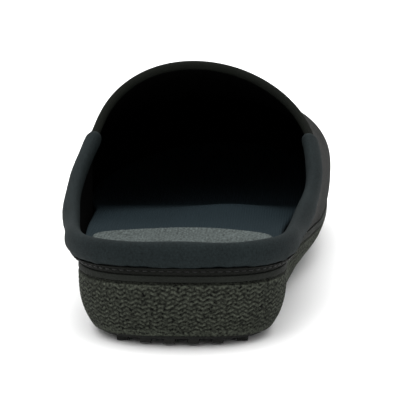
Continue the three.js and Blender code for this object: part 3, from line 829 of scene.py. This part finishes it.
seam_line, seam_normal = below_edge_line(rim_at, rim_side, SEAM_BELOW, 400)
arch_line, arch_normal = below_edge_line(arch_at, arch_side, BINDING_SEAM, 120)
rows_of_stitches = stitch_row(seam_line, seam_normal, SEAM_DEPTH)
rows_of_stitches += stitch_row(arch_line, arch_normal, BINDING_SINK)
waxed_thread, shader = principled("waxed_thread", THREAD_BLACK, 0.5, specular=0.2)
tree = waxed_thread.node_tree
place = object_place(tree)
tone = place_on(TONE, tree, place, Specks=2500.0, Speck_Strength=1.0)
tint(tree, shader, THREAD_BLACK, tone.outputs["Tone"])
bump(tree, shader, place_on(GRAIN, tree, place, Cells=3500.0).outputs["Height"], 0.0001)
make_piece("seam_stitches", rows_of_stitches, [waxed_thread] * len(rows_of_stitches))

# Footbed: a moulded foam insole under slate knit, cupped at the heel and raised under the arch. It
# lies loose in the shoe, a little clear of the upper, so that a dark gap shows at its sides.
FOOTBED_AT = (0, 0.15, 0.27, 0.37, 0.46, 0.57, 0.72, 1)
CROWN = (0.35, 0.35, 0.41, 0.46, 0.38, 0.25, 0.18, 0.14)
CUP = (0.1, 0.09, 0.04, -0.02, 0, 0.02, 0.02, 0.02)
ARCH = (0, 0, 0.03, 0.1, 0.05, 0, 0, 0)
ARCH_CENTRE, ARCH_SPREAD = 0.35, 0.5
FOOTBED_INSET = WELT_LIP + WALL + 1.0
FOOTBED_FLARE = 0.25
FOOTBED_EDGE, FOOTBED_HALF = 1.6, 38.0
FOOTBED_COLUMNS, FOOTBED_ROWS = 220, 90
INSOLE_BLUE = linear(24, 33, 37)


def footbed_flare(at):
    """How far the footbed's top edge stands out sideways past its foot: a share of how far the
    upper's fullest part overhangs its foot on both sides."""
    overhang = last("half", at) - last("sway", at) - last("foot", at)
    return FOOTBED_FLARE * np.maximum(0, overhang) * BALL_WIDTH


def footbed_top(x, y):
    """Height of the footbed's top: the sole's top, plus a crown, a cup that goes as the cube of
    the distance across, and a Gaussian arch on the medial side."""
    at = y / LENGTH
    across = (x - last("mid", at) * BALL_WIDTH) / (last("foot", at) * BALL_WIDTH - FOOTBED_INSET)
    bell = np.exp(-(((across - ARCH_CENTRE) / ARCH_SPREAD) ** 2))
    rise = smooth(FOOTBED_AT, CROWN, at) + smooth(FOOTBED_AT, CUP, at) * np.abs(across) ** 3
    return sole_top(y) + (rise + smooth(FOOTBED_AT, ARCH, at) * bell) * SOLE_HEIGHT


def eased(level, half, radius):
    """Drop of a rounded top edge: a quarter circle of the distance (1 - level) * half to it."""
    reach = np.clip((1 - level) * half, 0, radius)
    return radius - np.sqrt(radius**2 - (radius - reach) ** 2)


def outline_level(across, *roundings):
    """Level of a point in an outline, 1 on it: the larger, over both ends, of the superellipse sum
    of the place across and the place in that end's rounding."""
    levels = []
    for (reach, power), away in roundings:
        t = np.clip(1 - away / reach, 0, 1)
        levels.append((np.abs(across) ** power + t**power) ** (1 / power))
    return np.maximum(*levels)


stations = outline_stations(FOOTBED_COLUMNS)
across = np.sin(np.linspace(-np.pi / 2, np.pi / 2, FOOTBED_ROWS))
x, y = np.broadcast_arrays(*sole_place(stations[:, None], across[None, :], 1.0, FOOTBED_INSET))
bed_under = np.stack([x, y, sole_top(y) + GAP], axis=-1)
x = x + across[None, :] * (footbed_flare(stations) * ends(stations))[:, None]
place_across = across[None, :] * ends(stations)[:, None]
level = outline_level(place_across, (HEEL_END, stations[:, None]), (TOE_END, 1 - stations[:, None]))
bed_top = np.stack([x, y, footbed_top(x, y) - eased(level, FOOTBED_HALF, FOOTBED_EDGE)], axis=-1)
sides = []
for row, order in ((0, 1), (-1, -1)):
    rises = np.linspace(0, 1, 6)[None, :, None]
    sides.append(mix(bed_under[::-order, row][:, None], bed_top[::-order, row][:, None], rises))
footbed_fabric, shader = principled("footbed_fabric", INSOLE_BLUE, 0.92, specular=0.05)
tree = footbed_fabric.node_tree
place = object_place(tree)
tone = place_on(TONE, tree, place, Patches=35.0, Patch_Strength=0.4, Specks=1300.0, Speck_Strength=0.6)
tint(tree, shader, INSOLE_BLUE, tone.outputs["Tone"])
bump(tree, shader, place_on(KNIT, tree, place, Loops=1000.0).outputs["Height"], 0.0002)
footbed = make_piece(
    "moulded_footbed",
    [bed_top[::-1], bed_under, *sides],
    [footbed_fabric] * 4,
    ["footbed"],
)

# Heel pad: a thin pad of light grey heathered fabric, glued in the heel cup of the footbed, with a
# rounded front and soft edges. It is bare.
PAD_THICK, PAD_MARGIN, PAD_LENGTH = 1.2, 2.6, 58.0
PAD_EDGE, PAD_HALF = 1.1, 30.0
PAD_FRONT, PAD_BACK = (0.5, 2.0), (0.5, 2.3)
PAD_COLUMNS, PAD_ROWS = 120, 80
HEATHER_GREY = linear(68, 74, 73)

t = (1 - np.cos(np.linspace(0, np.pi, PAD_COLUMNS))) / 2
pad_at = (PAD_MARGIN + t * PAD_LENGTH) / LENGTH
x, y = sole_place(pad_at, 0, 1.0, FOOTBED_INSET)
pad_half = last("foot", pad_at) * BALL_WIDTH - FOOTBED_INSET + footbed_flare(pad_at) - PAD_MARGIN
pad_ends = rounding(PAD_FRONT, 1 - t) * rounding(PAD_BACK, t)
across = np.sin(np.linspace(-np.pi / 2, np.pi / 2, PAD_ROWS))
x = x[:, None] + across[None, :] * (pad_half * pad_ends)[:, None]
y = np.broadcast_to(y[:, None], x.shape)
place_across = across * pad_ends[:, None]
level = outline_level(place_across, (PAD_FRONT, 1 - t[:, None]), (PAD_BACK, t[:, None]))
pad_drop = eased(level, PAD_HALF, PAD_EDGE)
pad_top = np.stack([x, y, footbed_top(x, y) + GAP + PAD_THICK - pad_drop], axis=-1)
pad_under = np.stack([x, y, footbed_top(x, y) + GAP], axis=-1)
sides = []
for row, order in ((0, 1), (-1, -1)):
    sides.append(np.stack([pad_under[::-order, row], pad_top[::-order, row]], axis=1))
pad_fabric, shader = principled("pad_fabric", HEATHER_GREY, 0.92, specular=0.05)
tree = pad_fabric.node_tree
place = object_place(tree)
tone = place_on(TONE, tree, place, Patches=60.0, Patch_Strength=0.35, Specks=1000.0, Speck_Strength=2.6)
tint(tree, shader, HEATHER_GREY, tone.outputs["Tone"])
bump(tree, shader, place_on(KNIT, tree, place, Loops=900.0).outputs["Height"], 0.0003)
pad = make_piece(
    "heather_heel_pad",
    [pad_top[::-1], pad_under, *sides],
    [pad_fabric] * 4,
    ["heel_pad"],
)
